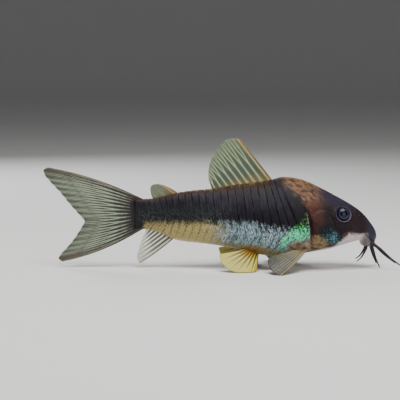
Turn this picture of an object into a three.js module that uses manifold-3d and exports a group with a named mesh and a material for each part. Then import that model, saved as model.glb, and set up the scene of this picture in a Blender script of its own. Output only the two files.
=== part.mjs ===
// A small armoured catfish, life-size, resting on the bottom on its pectoral and pelvic fins.
// The head points to +X, the right side of the fish to -Y, and the floor is z = 0.
// Lengths marked "pc" are percent of the standard length, measured from the snout tip (s) or up from the floor (h).

import * as THREE from "three";
import { mergeVertices } from "three/addons/utils/BufferGeometryUtils.js";
import Module from "manifold-3d";

const wasm = await Module();
wasm.setup();

// Driving dimensions, in millimetres
const STANDARD_LENGTH = 48.5; // snout tip to the base of the tail fin
const SNOUT_X = 30.75; // places the tips of the tail fin and of the barbels alike far from the origin
const GAP = 0.3; // clearance between neighbouring pieces
const MEMBRANE = 0.5; // thickness of a fin between its rays
const SLIVER = 0.01; // edges shorter than this are cleaned away after cutting
const PC = STANDARD_LENGTH / 100;

const alongX = (s) => SNOUT_X - s * PC;
const place = (s, h, y = 0) => new THREE.Vector3(alongX(s), y, h * PC);
const clamp01 = (v) => Math.min(1, Math.max(0, v));
const mix = (a, b, k) => a + (b - a) * k;
const smooth = (a, b, v) => {
  const k = clamp01((v - a) / (b - a));
  return k * k * (3 - 2 * k);
};

// Profiles of the body. The curve runs on the square root of s, which rounds the snout.
function profile(stations) {
  const t = stations.map(([s]) => Math.sqrt(s));
  const v = stations.map(([, value]) => value);
  const last = t.length - 1;
  const slope = t.slice(1).map((x, i) => (v[i + 1] - v[i]) / (x - t[i]));
  const tangent = t.map((_, i) => {
    if (i === 0) return slope[0];
    if (i === last) return slope[last - 1];
    const before = t[i] - t[i - 1];
    const after = t[i + 1] - t[i];
    return (slope[i - 1] * after + slope[i] * before) / (before + after);
  });
  return (s) => {
    const x = Math.sqrt(Math.min(Math.max(s, stations[0][0]), stations[last][0]));
    let i = 0;
    while (i < last - 1 && x > t[i + 1]) i++;
    const w = t[i + 1] - t[i];
    const k = (x - t[i]) / w;
    const rise = k * k * (3 - 2 * k) * (v[i + 1] - v[i]);
    const bend = k * (1 - k) * w * ((1 - k) * tangent[i] - k * tangent[i + 1]);
    return v[i] + rise + bend;
  };
}

const backLine = profile([
  [0, 13.4], [0.4, 15.4], [1.4, 17.3], [2.7, 19.1], [4.7, 21.6], [6.8, 23.6], [9.7, 25.7], [13, 27.7],
  [17, 29.9], [23.3, 33.2], [27.4, 35.2], [31.5, 36.7], [35.7, 37.4], [39.8, 37.3], [43.9, 36.3], [52.2, 35.1],
  [60.4, 33.9], [67.4, 32.7], [76.9, 31.8], [82, 31], [87.2, 29.7], [92.6, 28.6], [97, 28.4], [100, 28.2],
]);
const bellyLine = profile([
  [0, 13.4], [0.3, 11.9], [1.1, 10.9], [2.7, 10.8], [4.7, 11.6], [6.8, 11.6], [10.9, 10.6], [15, 9.4],
  [19.2, 8.2], [23.3, 7.4], [27.4, 6.8], [31.5, 6.1], [37.7, 5.3], [43.9, 5.2], [48.9, 5.9], [56.3, 7.6],
  [64.5, 9.2], [72.8, 10.3], [79, 10.9], [82.7, 11.6], [87.2, 13.6], [90.5, 15], [94, 15.8], [100, 16],
]);
const halfWidth = profile([
  [0, 0], [0.4, 2.6], [1.4, 4.6], [2.7, 6], [4.7, 7.3], [9.7, 9.2], [14, 10.4], [21, 12], [27.4, 13.2],
  [33, 13.6], [39, 13.3], [48, 11.8], [60, 9.3], [72.8, 6.5], [82.7, 4.5], [93.4, 2.6], [100, 1.7],
]);
const widestHeight = profile([
  [0, 13.4], [2.7, 14.6], [6.8, 16], [15, 17.2], [23, 16.6], [31.5, 15.4], [44, 15.2], [60, 17.4],
  [80, 20.4], [93, 22], [100, 22.2],
]);
const upperRoundness = profile([[0, 2], [6, 2.1], [20, 2.1], [38, 1.75], [60, 1.8], [80, 1.9], [100, 2]]);
const lowerRoundness = profile([[0, 2], [6, 2.2], [20, 2.5], [40, 2.7], [60, 2.6], [80, 2.2], [100, 2]]);

// The body's surface at s pc behind the snout and angle a round it (0 is the right side, 90 degrees the back).
// "lift" raises the surface by that many millimetres.
function bodyPoint(s, a, lift = 0) {
  const up = Math.sin(a) >= 0;
  const power = 2 / (up ? upperRoundness(s) : lowerRoundness(s));
  const across = Math.sign(Math.cos(a)) * Math.abs(Math.cos(a)) ** power;
  const rise = Math.abs(Math.sin(a)) ** power;
  const middle = widestHeight(s) * PC;
  const reach = up ? backLine(s) * PC + lift - middle : bellyLine(s) * PC - lift - middle;
  return new THREE.Vector3(alongX(s), -across * (halfWidth(s) * PC + lift), middle + reach * rise);
}

// Solids from meshes, and back
function solid(geometry) {
  const bare = geometry.index ? geometry.toNonIndexed() : geometry.clone();
  bare.deleteAttribute("normal");
  bare.deleteAttribute("uv");
  const merged = mergeVertices(bare, 1e-4);
  const mesh = new wasm.Mesh({
    numProp: 3,
    vertProperties: merged.attributes.position.array,
    triVerts: new Uint32Array(merged.index.array),
  });
  return new wasm.Manifold(mesh);
}

function biggest(manifold) {
  const pieces = manifold.decompose();
  return pieces.reduce((a, b) => (b.volume() > a.volume() ? b : a));
}

function geometryOf(manifold) {
  const mesh = manifold.getMesh();
  return new THREE.BufferGeometry()
    .setAttribute("position", new THREE.BufferAttribute(new Float32Array(mesh.vertProperties), 3))
    .setIndex(new THREE.BufferAttribute(new Uint32Array(mesh.triVerts), 1));
}

// A closed solid through rings of points. An end closes on its own point, or on the middle of its ring.
function loft(rings) {
  const count = rings[0].length;
  const points = [];
  const faces = [];
  rings.forEach((ring) => points.push(...ring));
  const middle = (ring) => ring.reduce((sum, p) => sum.add(p), new THREE.Vector3()).divideScalar(count);
  const start = points.push(middle(rings[0])) - 1;
  const end = points.push(middle(rings[rings.length - 1])) - 1;
  const lastRing = (rings.length - 1) * count;
  for (let j = 0; j < count; j++) {
    const k = (j + 1) % count;
    faces.push(start, k, j, end, lastRing + j, lastRing + k);
    for (let i = 0; i < rings.length - 1; i++) {
      const a = i * count;
      const b = a + count;
      faces.push(a + j, a + k, b + j, a + k, b + k, b + j);
    }
  }
  return meshOf(points, faces);
}

function meshOf(points, faces) {
  const geometry = new THREE.BufferGeometry().setFromPoints(points);
  geometry.setIndex(faces);
  const made = solid(geometry);
  if (made.volume() > 0) return made;
  geometry.setIndex(faces.map((_, i) => faces[i - (i % 3) + [0, 2, 1][i % 3]]));
  return solid(geometry);
}

// Armour plates along the flank: rear edges of two rows per side, crowded towards the tail
const PLATES = 23;
const FIRST_EDGE = 32; // rear edge of the shoulder plate on the side line
const LAST_EDGE = 99.2;
const CROWDING = 1.3;
const PLATE_STEP = 0.25; // width of the step at a plate's rear edge, pc
const PLATE_HEIGHT = 0.24; // height of that step at the shoulder, mm
const TAIL_PLATE_HEIGHT = 0.14;
const AROUND = 30;

function plateEdge(i) {
  const k = i / PLATES;
  return FIRST_EDGE + (LAST_EDGE - FIRST_EDGE) * k * (CROWDING - (CROWDING - 1) * k);
}

// How far back a plate's rear edge runs at angle a, from its foremost point on the side line
function plateSlant(i, a) {
  const upper = 1.6 + 8.4 * Math.exp(-i / 2.2);
  const lower = 3.2 + 5.8 * Math.exp(-i / 3);
  const fade = 1 - smooth(0.82, 1, i / PLATES);
  const sine = Math.sin(a);
  return fade * (sine > 0 ? upper * sine ** 1.2 : lower * -sine);
}

// A plate stands up most on the flank, less on the back, and not on the belly or along the side line
function plateLift(i, a) {
  const sine = Math.sin(a);
  const height = mix(PLATE_HEIGHT, TAIL_PLATE_HEIGHT, i / PLATES);
  const offBelly = smooth(-0.95, -0.7, sine);
  const offSideLine = smooth(0.02, 0.15, Math.abs(sine));
  const offBack = 1 - 0.5 * smooth(0.9, 1, sine);
  return height * offBelly * offSideLine * offBack;
}

const ring = (sAt, liftAt, count = AROUND) =>
  Array.from({ length: count }, (_, j) => {
    const a = (j / count) * 2 * Math.PI;
    return bodyPoint(sAt(a), a, liftAt(a));
  });

// The gill opening parts head from trunk. On the back the head reaches further aft, to the nape.
const GILL_OPENING = 27.7;
function gillSlant(a) {
  const sine = Math.sin(a);
  return sine > 0 ? 4.3 * sine ** 1.5 : 0.6 * sine;
}

const TAIL_FROM_PLATE = 17; // the tail begins behind this plate's rear edge

function plateRings(first, last, grow) {
  const rings = [];
  for (let i = first; i <= last; i++) {
    const edge = plateEdge(i);
    rings.push(ring((a) => edge + plateSlant(i, a), (a) => grow + plateLift(i, a)));
    if (i < last) rings.push(ring((a) => edge + PLATE_STEP + plateSlant(i, a), () => grow));
  }
  return rings;
}

function shoulderRings(grow) {
  return [0, 0.35, 0.7].map((k) =>
    ring(
      (a) => mix(GILL_OPENING, plateEdge(0), k) + mix(gillSlant(a), plateSlant(0, a), k),
      (a) => grow + k * plateLift(0, a),
    ),
  );
}

const trunkSolid = (grow = 0) => loft([...shoulderRings(grow), ...plateRings(0, TAIL_FROM_PLATE, grow)]);

function tailSolid(grow = 0) {
  const start = plateEdge(TAIL_FROM_PLATE) + GAP / PC;
  const front = ring((a) => start + plateSlant(TAIL_FROM_PLATE, a), () => grow);
  const end = ring(() => 100 + grow / PC, () => grow);
  return loft([front, ...plateRings(TAIL_FROM_PLATE + 1, PLATES, grow), end]);
}

const HEAD_RINGS = 15;
function headSolid(grow = 0) {
  const rear = GILL_OPENING - GAP / PC;
  const rings = [];
  for (let i = 0; i < HEAD_RINGS; i++) {
    const k = i / HEAD_RINGS;
    const s = rear * (1 - k) ** 1.7;
    const slant = smooth(0.35, 1, s / rear);
    rings.push(ring((a) => s + slant * gillSlant(a), () => grow * Math.min(1, s)));
  }
  rings.push(ring(() => 0.02, () => 0));
  return loft(rings);
}

// A body without breaks, grown by the gap, which trims the roots of the fins
function trimmingBody(grow = GAP) {
  const rings = [ring(() => 3, () => grow), ring(() => 10, () => grow), ring(() => 18, () => grow)];
  rings.push(...shoulderRings(grow), ...plateRings(0, PLATES, grow));
  rings.push(ring(() => 100 + grow / PC, () => grow));
  return loft(rings);
}

// Fins: a sheet over a grid of points, with each ray a ridge on both faces
function sheet(rows, halfThickness) {
  const across = rows.length;
  const along = rows[0].length;
  const points = [];
  const normalAt = (i, j) => {
    const u = new THREE.Vector3().subVectors(rows[Math.min(i + 1, across - 1)][j], rows[Math.max(i - 1, 0)][j]);
    const v = new THREE.Vector3().subVectors(rows[i][Math.min(j + 1, along - 1)], rows[i][Math.max(j - 1, 0)]);
    return u.cross(v).normalize();
  };
  for (const side of [1, -1])
    for (let i = 0; i < across; i++)
      for (let j = 0; j < along; j++)
        points.push(rows[i][j].clone().addScaledVector(normalAt(i, j), side * halfThickness(i, j)));
  const at = (side, i, j) => side * across * along + i * along + j;
  const faces = [];
  for (let i = 0; i < across - 1; i++)
    for (let j = 0; j < along - 1; j++) {
      const [a, b, c, d] = [at(0, i, j), at(0, i + 1, j), at(0, i + 1, j + 1), at(0, i, j + 1)];
      const shift = across * along;
      faces.push(a, b, c, a, c, d);
      faces.push(a + shift, c + shift, b + shift, a + shift, d + shift, c + shift);
    }
  const wall = (i0, j0, i1, j1) => {
    const [a, b, c, d] = [at(0, i0, j0), at(0, i1, j1), at(1, i1, j1), at(1, i0, j0)];
    faces.push(a, c, b, a, d, c);
  };
  for (let i = 0; i < across - 1; i++) {
    wall(i, 0, i + 1, 0);
    wall(i + 1, along - 1, i, along - 1);
  }
  for (let j = 0; j < along - 1; j++) {
    wall(across - 1, j, across - 1, j + 1);
    wall(0, j + 1, 0, j);
  }
  return meshOf(points, faces);
}

// A fin between a root curve and a tip curve. Rays fan from one to the other and bow sideways in the fin's plane.
function fin({ root, tip, rays, bow = () => new THREE.Vector3(), steps = 5, spine = 0, ridge = 0.2, flare = 0 }) {
  const rootCurve = new THREE.CatmullRomCurve3(root);
  const tipCurve = new THREE.CatmullRomCurve3(tip);
  const shoulder = 0.28 / rays;
  const samples = [];
  for (let r = 0; r < rays; r++) {
    const middle = mix(shoulder, 1 - shoulder, r / (rays - 1));
    samples.push([middle - shoulder, 0, r], [middle, 1, r], [middle + shoulder, 0, r]);
  }
  const rows = samples.map(([t]) => {
    const a = rootCurve.getPointAt(clamp01(t));
    const b = tipCurve.getPointAt(clamp01(t));
    return Array.from({ length: steps + 1 }, (_, j) => {
      const k = j / steps;
      return a.clone().lerp(b, k).addScaledVector(bow(clamp01(t)), 4 * k * (1 - k));
    });
  });
  return sheet(rows, (i, j) => {
    const [, peak, r] = samples[i];
    const k = j / steps;
    const base = (MEMBRANE / 2) * mix(1 + flare * (1 - k) ** 2, 1, k) * mix(1, 0.8, smooth(0.75, 1, k));
    const stout = r === 0 ? spine * (1 - 0.8 * k) : 0;
    return base + stout + peak * ridge * (1 - 0.65 * k);
  });
}

const grownBody = trimmingBody();
const rooted = (finSolid) => biggest(finSolid.subtract(grownBody));
const flat = ([s, h]) => place(s, h);
const lift = (amount) => new THREE.Vector3(0, 0, amount * PC);

const caudalFin = () =>
  rooted(
    fin({
      rays: 14,
      steps: 6,
      flare: 1.6,
      spine: 0.12,
      root: [[97.2, 28.4], [99.8, 25.6], [99.9, 22], [99.8, 18.6], [97.6, 16]].map(flat),
      tip: [
        [135.6, 41.6], [137.4, 40.2], [136.8, 38.4], [134.4, 35.4], [130.6, 31.4], [126.4, 26.2], [122.3, 21.6],
        [120.6, 19.4], [122.3, 15.8], [125.5, 11.1], [128, 8.2], [131.2, 4.4], [130.2, 2.4],
      ].map(flat),
      bow: (t) => lift(mix(3, -2, t)),
    }),
  );

const dorsalFin = () =>
  rooted(
    fin({
      rays: 8,
      flare: 0.8,
      spine: 0.25,
      root: [[43.2, 35], [48, 34.4], [54, 33.6], [60, 32.8], [67.6, 31.6]].map(flat),
      tip: [
        [56.2, 53.1], [59.8, 53.4], [62.5, 52.6], [64.6, 50.2], [66.5, 47.2], [68.4, 44.2], [69.3, 40.4], [69.2, 35.8],
      ].map(flat),
      bow: (t) => lift(mix(0.5, 0.8, t)),
    }),
  );

const adiposeFin = () =>
  rooted(
    fin({
      rays: 3,
      steps: 4,
      spine: 0.2,
      ridge: 0.12,
      root: [[80.6, 30], [86, 28.4], [91.6, 27]].map(flat),
      tip: [[88.8, 34.5], [91.6, 34.6], [93.2, 33.4], [93, 30.4]].map(flat),
      bow: (t) => lift(mix(0.6, 0, t)),
    }),
  );

const analFin = () =>
  rooted(
    fin({
      rays: 7,
      steps: 4,
      flare: 0.6,
      spine: 0.1,
      root: [[82.6, 12.6], [88, 15], [93.6, 17]].map(flat),
      tip: [[97.6, 1.7], [98.6, 3], [98.8, 5], [98.2, 7.4], [97.2, 10.6], [96, 13.8]].map(flat),
      bow: (t) => lift(mix(-0.5, 0.2, t)),
    }),
  );

// Paired fins. side is -1 for the fish's right side and 1 for its left.
const floorCut = () => {
  const slab = new THREE.BoxGeometry(200, 100, 20);
  slab.translate(0, 0, -10);
  return solid(slab);
};
const onFloor = (manifold) => biggest(manifold.subtract(floorCut()));

const pectoralFin = (side) =>
  onFloor(
    rooted(
      fin({
        rays: 8,
        steps: 5,
        flare: 0.6,
        spine: 0.3,
        root: [
          place(28.4, 9.6, side * 4.6), place(29.6, 9.8, side * 4.9), place(31, 9.6, side * 5), place(32.6, 9, side * 5),
        ],
        tip: [
          place(40.2, -0.1, side * 12.6), place(42, -0.1, side * 12.3), place(43.6, 0.9, side * 11.8),
          place(45, 2.9, side * 10.6), place(45.6, 4.8, side * 9.2), place(44.6, 6.8, side * 7.6),
        ],
        bow: () => new THREE.Vector3(0.3, side * 0.5, -0.1),
      }),
    ),
  );

const pelvicFin = (side) =>
  onFloor(
    rooted(
      fin({
        rays: 6,
        steps: 5,
        flare: 0.6,
        spine: 0.1,
        root: [
          place(48.6, 7.4, side * 2.6), place(49.8, 7.8, side * 3), place(51.4, 8.2, side * 3.3), place(53, 8.6, side * 3.4),
        ],
        tip: [
          place(49.8, 0.3, side * 7.4), place(53, -0.15, side * 8.4), place(57.2, -0.15, side * 8.8),
          place(61.2, 1.4, side * 8.2), place(64.2, 4, side * 7), place(65, 7, side * 5.8),
        ],
        bow: () => new THREE.Vector3(0, side * 0.5, 0),
      }),
    ),
  );

// Eyes in sockets with a raised rim
const EYE = { s: 14.4, h: 23.1, across: 1.4, deep: 1, sunk: 0.4, upTilt: 15, foreTilt: 8 };
const RIM = { radius: 1.82, thickness: 0.3, sunk: 0.2 };

const eyeAxis = (side) => {
  const up = THREE.MathUtils.degToRad(EYE.upTilt);
  const fore = THREE.MathUtils.degToRad(EYE.foreTilt);
  return new THREE.Vector3(Math.sin(fore), side * Math.cos(up), Math.sin(up)).normalize();
};

// The point of the skin at s and height h, on either side
function skinAt(s, h, side) {
  const middle = widestHeight(s);
  const rise = clamp01((h - middle) / (backLine(s) - middle));
  const a = Math.asin(rise ** (upperRoundness(s) / 2));
  const at = bodyPoint(s, a);
  return new THREE.Vector3(at.x, side * Math.abs(at.y), at.z);
}

const eyeCentre = (side, sunk) => skinAt(EYE.s, EYE.h, side).addScaledVector(eyeAxis(side), -sunk);

function facing(geometry, axis, centre) {
  geometry.applyQuaternion(new THREE.Quaternion().setFromUnitVectors(new THREE.Vector3(0, 0, 1), axis));
  return solid(geometry.translate(centre.x, centre.y, centre.z));
}

function eyeball(side, grow = 0, sides = 16) {
  const geometry = new THREE.SphereGeometry(1, sides, Math.round(sides * 0.6));
  geometry.rotateX(Math.PI / 2);
  geometry.scale(EYE.across + grow, EYE.across + grow, EYE.deep + grow);
  return facing(geometry, eyeAxis(side), eyeCentre(side, EYE.sunk));
}

const eyeRim = (side) =>
  facing(new THREE.TorusGeometry(RIM.radius, RIM.thickness, 6, 20), eyeAxis(side), eyeCentre(side, RIM.sunk));

// Gill covers: a plate of the head's own surface, set in a pocket
const GILL_COVER = { s: 22.3, h: 17.2, long: 4.7, tall: 7.2, turn: -14, squareness: 2.4 };
const COVER_RAISED = 0.12;
const COVER_THICKNESS = 0.9;
const COVER_INNER = 2.2; // no part of a cover or its pocket lies nearer the middle than this

// A prism across the right or left side of the head, with a rounded outline grown by a few tenths of a millimetre.
function coverPrism(side, grow) {
  const turn = THREE.MathUtils.degToRad(GILL_COVER.turn);
  const power = 2 / GILL_COVER.squareness;
  const count = 24;
  const outline = Array.from({ length: count }, (_, i) => {
    const a = (i / count) * 2 * Math.PI;
    const along = Math.sign(Math.cos(a)) * Math.abs(Math.cos(a)) ** power * (GILL_COVER.long + grow / PC);
    const up = Math.sign(Math.sin(a)) * Math.abs(Math.sin(a)) ** power * (GILL_COVER.tall + grow / PC);
    const s = GILL_COVER.s + along * Math.cos(turn) - up * Math.sin(turn);
    const h = GILL_COVER.h + along * Math.sin(turn) + up * Math.cos(turn);
    return new THREE.Vector2(alongX(s), h * PC);
  });
  const depth = 8;
  const geometry = new THREE.ExtrudeGeometry(new THREE.Shape(outline), { depth, bevelEnabled: false });
  geometry.rotateX(Math.PI / 2);
  geometry.translate(0, side < 0 ? -COVER_INNER : COVER_INNER + depth, 0);
  return solid(geometry);
}

const gillCover = (side) =>
  biggest(headSolid(COVER_RAISED).intersect(coverPrism(side, 0)).subtract(headSolid(-COVER_THICKNESS)));
const gillPocket = (side) => coverPrism(side, GAP).subtract(headSolid(-COVER_THICKNESS - GAP));

// Nostrils: two small pits before each eye
const NOSTRILS = [
  { s: 8.2, h: 22.6, radius: 0.34 },
  { s: 10.2, h: 24.3, radius: 0.28 },
];
function nostril({ s, h, radius }, side) {
  const at = skinAt(s, h, side);
  return solid(new THREE.SphereGeometry(radius, 8, 6).translate(at.x, at.y, at.z));
}

// Lips: the upper one is a fold of the head over the mouth, the lower one a piece of its own
const UPPER_LIP = { s: 2.9, h: 13.2, long: 1.5, wide: 2.35, deep: 0.75 };
const LOWER_LIP = { s: 3.7, h: 11, long: 1.55, wide: 2.1, deep: 1.1 };
function lip({ s, h, long, wide, deep }) {
  const at = place(s, h);
  return solid(new THREE.SphereGeometry(1, 14, 8).scale(long, wide, deep).translate(at.x, at.y, at.z));
}

function head() {
  let made = headSolid().add(lip(UPPER_LIP));
  for (const side of [-1, 1]) {
    made = made.add(eyeRim(side));
    made = made.subtract(eyeball(side, GAP, 18));
    made = made.subtract(gillPocket(side));
    for (const pit of NOSTRILS) made = made.subtract(nostril(pit, side));
  }
  return biggest(made);
}

const grown = (shape, by) => ({ ...shape, long: shape.long + by, wide: shape.wide + by, deep: shape.deep + by });
const mouthRoof = headSolid(GAP).add(lip(grown(UPPER_LIP, GAP)));
const grownLip = lip(grown(LOWER_LIP, GAP));
const lowerLip = () => biggest(lip(LOWER_LIP).subtract(mouthRoof));

// Barbels: tapered feelers, two from each corner of the mouth and one from each side of the chin
const BARBEL_SIDES = 6;
function barbel(path, thick, thin) {
  const curve = new THREE.CatmullRomCurve3(path);
  const steps = 9;
  const frames = curve.computeFrenetFrames(steps);
  const rings = [];
  for (let i = 0; i <= steps; i++) {
    const k = i / steps;
    const radius = mix(thick, thin, k ** 0.8) / 2;
    const centre = curve.getPointAt(k);
    rings.push(
      Array.from({ length: BARBEL_SIDES }, (_, j) => {
        const a = (j / BARBEL_SIDES) * 2 * Math.PI;
        return centre
          .clone()
          .addScaledVector(frames.normals[i], radius * Math.cos(a))
          .addScaledVector(frames.binormals[i], radius * Math.sin(a));
      }),
    );
  }
  return loft(rings);
}

// "path" is for the right side. The left ones run nearly alike: "back" says how much further back their tips lie, pc.
const BARBELS = {
  upper: {
    thick: 0.8, thin: 0.26, back: 1.8,
    path: [[1.2, 10, 1.7], [-1.6, 7.9, 2.3], [-5.6, 4.4, 3.4], [-10.83, 0.75, 4.2]],
  },
  lower: {
    thick: 0.75, thin: 0.26, back: -0.1,
    path: [[2.2, 9.8, 1.9], [1.6, 7.4, 2.4], [0.6, 4.2, 3], [-0.9, 0.8, 3.4]],
  },
  chin: {
    thick: 0.6, thin: 0.26, back: -0.4,
    path: [[4.4, 8.2, 1.2], [5.2, 6.6, 1.5], [6.6, 4.6, 1.9], [8.4, 3.2, 2.2]],
  },
};

function barbelOn(name, side) {
  const { path, thick, thin, back } = BARBELS[name];
  const last = path.length - 1;
  const points = path.map(([s, h, y], i) => place(s + (side > 0 ? (back * i) / last : 0), h, side * y));
  return biggest(barbel(points, thick, thin).subtract(mouthRoof).subtract(grownLip));
}

// Colours of the parts
const colours = {
  headSkin: { color: 0x4b3434, roughness: 0.35, metalness: 0 },
  flankSkin: { color: 0x241f2b, roughness: 0.3, metalness: 0.1 },
  gillPlate: { color: 0x7a4a30, roughness: 0.35, metalness: 0.1 },
  clearFin: { color: 0xb9b79a, roughness: 0.4, metalness: 0 },
  yellowFin: { color: 0xc9b45c, roughness: 0.4, metalness: 0 },
  feeler: { color: 0x2d2838, roughness: 0.4, metalness: 0 },
  paleSkin: { color: 0xb8a99a, roughness: 0.4, metalness: 0 },
  eye: { color: 0x11111f, roughness: 0.08, metalness: 0 },
};
const finish = Object.fromEntries(
  Object.entries(colours).map(([name, look]) => [name, new THREE.MeshStandardMaterial(look)]),
);

const catfish = new THREE.Group();
function addPart(name, manifold, material) {
  const mesh = new THREE.Mesh(geometryOf(biggest(manifold.simplify(SLIVER))), material);
  mesh.name = name;
  catfish.add(mesh);
}

addPart("head", head(), finish.headSkin);
addPart("trunk", trunkSolid(), finish.flankSkin);
addPart("tail", tailSolid(), finish.flankSkin);
addPart("dorsal_fin", dorsalFin(), finish.clearFin);
addPart("adipose_fin", adiposeFin(), finish.clearFin);
addPart("caudal_fin", caudalFin(), finish.clearFin);
addPart("anal_fin", analFin(), finish.clearFin);
addPart("lower_lip", lowerLip(), finish.paleSkin);
for (const [letter, side] of [["right", -1], ["left", 1]]) {
  addPart(`gill_cover_${letter}`, gillCover(side), finish.gillPlate);
  addPart(`eye_${letter}`, eyeball(side), finish.eye);
  addPart(`pectoral_fin_${letter}`, pectoralFin(side), finish.clearFin);
  addPart(`pelvic_fin_${letter}`, pelvicFin(side), finish.yellowFin);
  for (const name of Object.keys(BARBELS)) addPart(`barbel_${name}_${letter}`, barbelOn(name, side), finish.feeler);
}

export default catfish;
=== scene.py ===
import bpy
import math
import numpy as np
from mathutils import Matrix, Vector


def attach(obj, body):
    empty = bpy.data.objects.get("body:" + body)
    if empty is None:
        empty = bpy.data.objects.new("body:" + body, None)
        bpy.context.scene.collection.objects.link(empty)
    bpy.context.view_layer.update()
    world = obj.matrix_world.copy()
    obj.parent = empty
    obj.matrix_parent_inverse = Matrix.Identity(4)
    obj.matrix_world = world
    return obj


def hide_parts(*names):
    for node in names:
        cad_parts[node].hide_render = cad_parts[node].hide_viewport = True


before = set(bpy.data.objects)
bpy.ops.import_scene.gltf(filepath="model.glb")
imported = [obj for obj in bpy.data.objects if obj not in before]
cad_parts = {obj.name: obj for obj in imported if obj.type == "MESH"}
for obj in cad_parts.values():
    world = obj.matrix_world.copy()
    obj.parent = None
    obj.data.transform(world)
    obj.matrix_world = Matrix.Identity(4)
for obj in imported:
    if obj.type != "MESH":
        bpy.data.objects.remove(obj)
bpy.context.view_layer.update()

# Camera
# It looks at the fish's right side from just above the bottom, with the snout near the right edge of
# the frame and the tail fin near the left one.
MM = 0.001  # sizes without it are in millimetres
VIEW_WIDTH = 80 * MM  # what the frame spans at the fish's mid-plane
VIEW_DISTANCE = 320 * MM
VIEW_ELEVATION = math.radians(5)
VIEW_CENTRE = Vector((-4.55, 0, 13.6)) * MM
SENSOR_WIDTH = 36

camera_data = bpy.data.cameras.new("camera")
camera_data.sensor_width = SENSOR_WIDTH
camera_data.lens = SENSOR_WIDTH * VIEW_DISTANCE / VIEW_WIDTH
camera_data.clip_start = 0.01
camera = bpy.data.objects.new("camera", camera_data)
bpy.context.scene.collection.objects.link(camera)
back = Vector((0, -math.cos(VIEW_ELEVATION), math.sin(VIEW_ELEVATION)))
camera.location = VIEW_CENTRE + back * VIEW_DISTANCE
camera.rotation_euler = (math.pi / 2 - VIEW_ELEVATION, 0, 0)
bpy.context.scene.camera = camera

# Floor and studio light
# A plain pale floor that rises far off into a round backdrop. A soft light hangs over the fish, a
# weaker one stands on the camera's side, and a small one behind lights the fins through.
FLOOR_RADIUS, COVE_RADIUS, WALL_HEIGHT = 1400, 600, 1800
FLOOR_RINGS = (200, 700)  # where the flat floor has rings of points
BACKDROP_SIDES, COVE_STEPS = 96, 12
FLOOR_GREY, FLOOR_MOTTLE = 0.72, 1.03
LIGHTS = {  # places and sizes in metres
    "over": dict(place=(0.03, -0.09, 0.3), size=0.22, watts=1.5, colour=(1, 0.98, 0.95)),
    "front": dict(place=(0.18, -0.42, 0.15), size=0.3, watts=0.9, colour=(0.94, 0.97, 1)),
    "behind": dict(place=(-0.12, 0.26, 0.17), size=0.16, watts=0.5, colour=(1, 1, 1)),
}
WORLD_GREY = 0.14


class Value:
    """A node socket. Arithmetic on it adds Math nodes to the same tree."""

    def __init__(self, tree, socket):
        self.tree = tree
        self.socket = socket

    def math(self, operation, *inputs):
        return self.tree.node("ShaderNodeMath", {"operation": operation}, dict(enumerate(inputs)))

    def __add__(self, other):
        return self.math("ADD", self, other)

    def __radd__(self, other):
        return self.math("ADD", other, self)

    def __sub__(self, other):
        return self.math("SUBTRACT", self, other)

    def __rsub__(self, other):
        return self.math("SUBTRACT", other, self)

    def __mul__(self, other):
        return self.math("MULTIPLY", self, other)

    def __rmul__(self, other):
        return self.math("MULTIPLY", other, self)

    def __truediv__(self, other):
        return self.math("DIVIDE", self, other)

    def __rtruediv__(self, other):
        return self.math("DIVIDE", other, self)

    def __pow__(self, other):
        return self.math("POWER", self, other)

    def __abs__(self):
        return self.math("ABSOLUTE", self)

    def sine(self):
        return self.math("SINE", self)

    def least(self, other):
        return self.math("MINIMUM", self, other)

    def most(self, other):
        return self.math("MAXIMUM", self, other)

    def step(self, low, high):
        """0 below low and 1 above high, smooth between. low may be the larger one."""
        if low > high:
            return 1 - self.step(high, low)
        inputs = {"Value": self, "From Min": low, "From Max": high}
        return self.tree.node("ShaderNodeMapRange", {"interpolation_type": "SMOOTHSTEP"}, inputs)

    def near(self, centre, reach):
        """1 at centre, falling smoothly to 0 at reach on either side."""
        return abs(self - centre).step(reach, reach * 0.3)


class Tree:
    """A node tree that is filled by one method."""

    def __init__(self, tree):
        self.tree = tree

    def node(self, kind, settings=None, inputs=None, output=0):
        made = self.tree.nodes.new(kind)
        for name, value in (settings or {}).items():
            setattr(made, name, value)
        for name, value in (inputs or {}).items():
            if isinstance(value, Value):
                self.tree.links.new(value.socket, made.inputs[name])
            else:
                made.inputs[name].default_value = value
        return Value(self, made.outputs[output]) if len(made.outputs) else made


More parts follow.
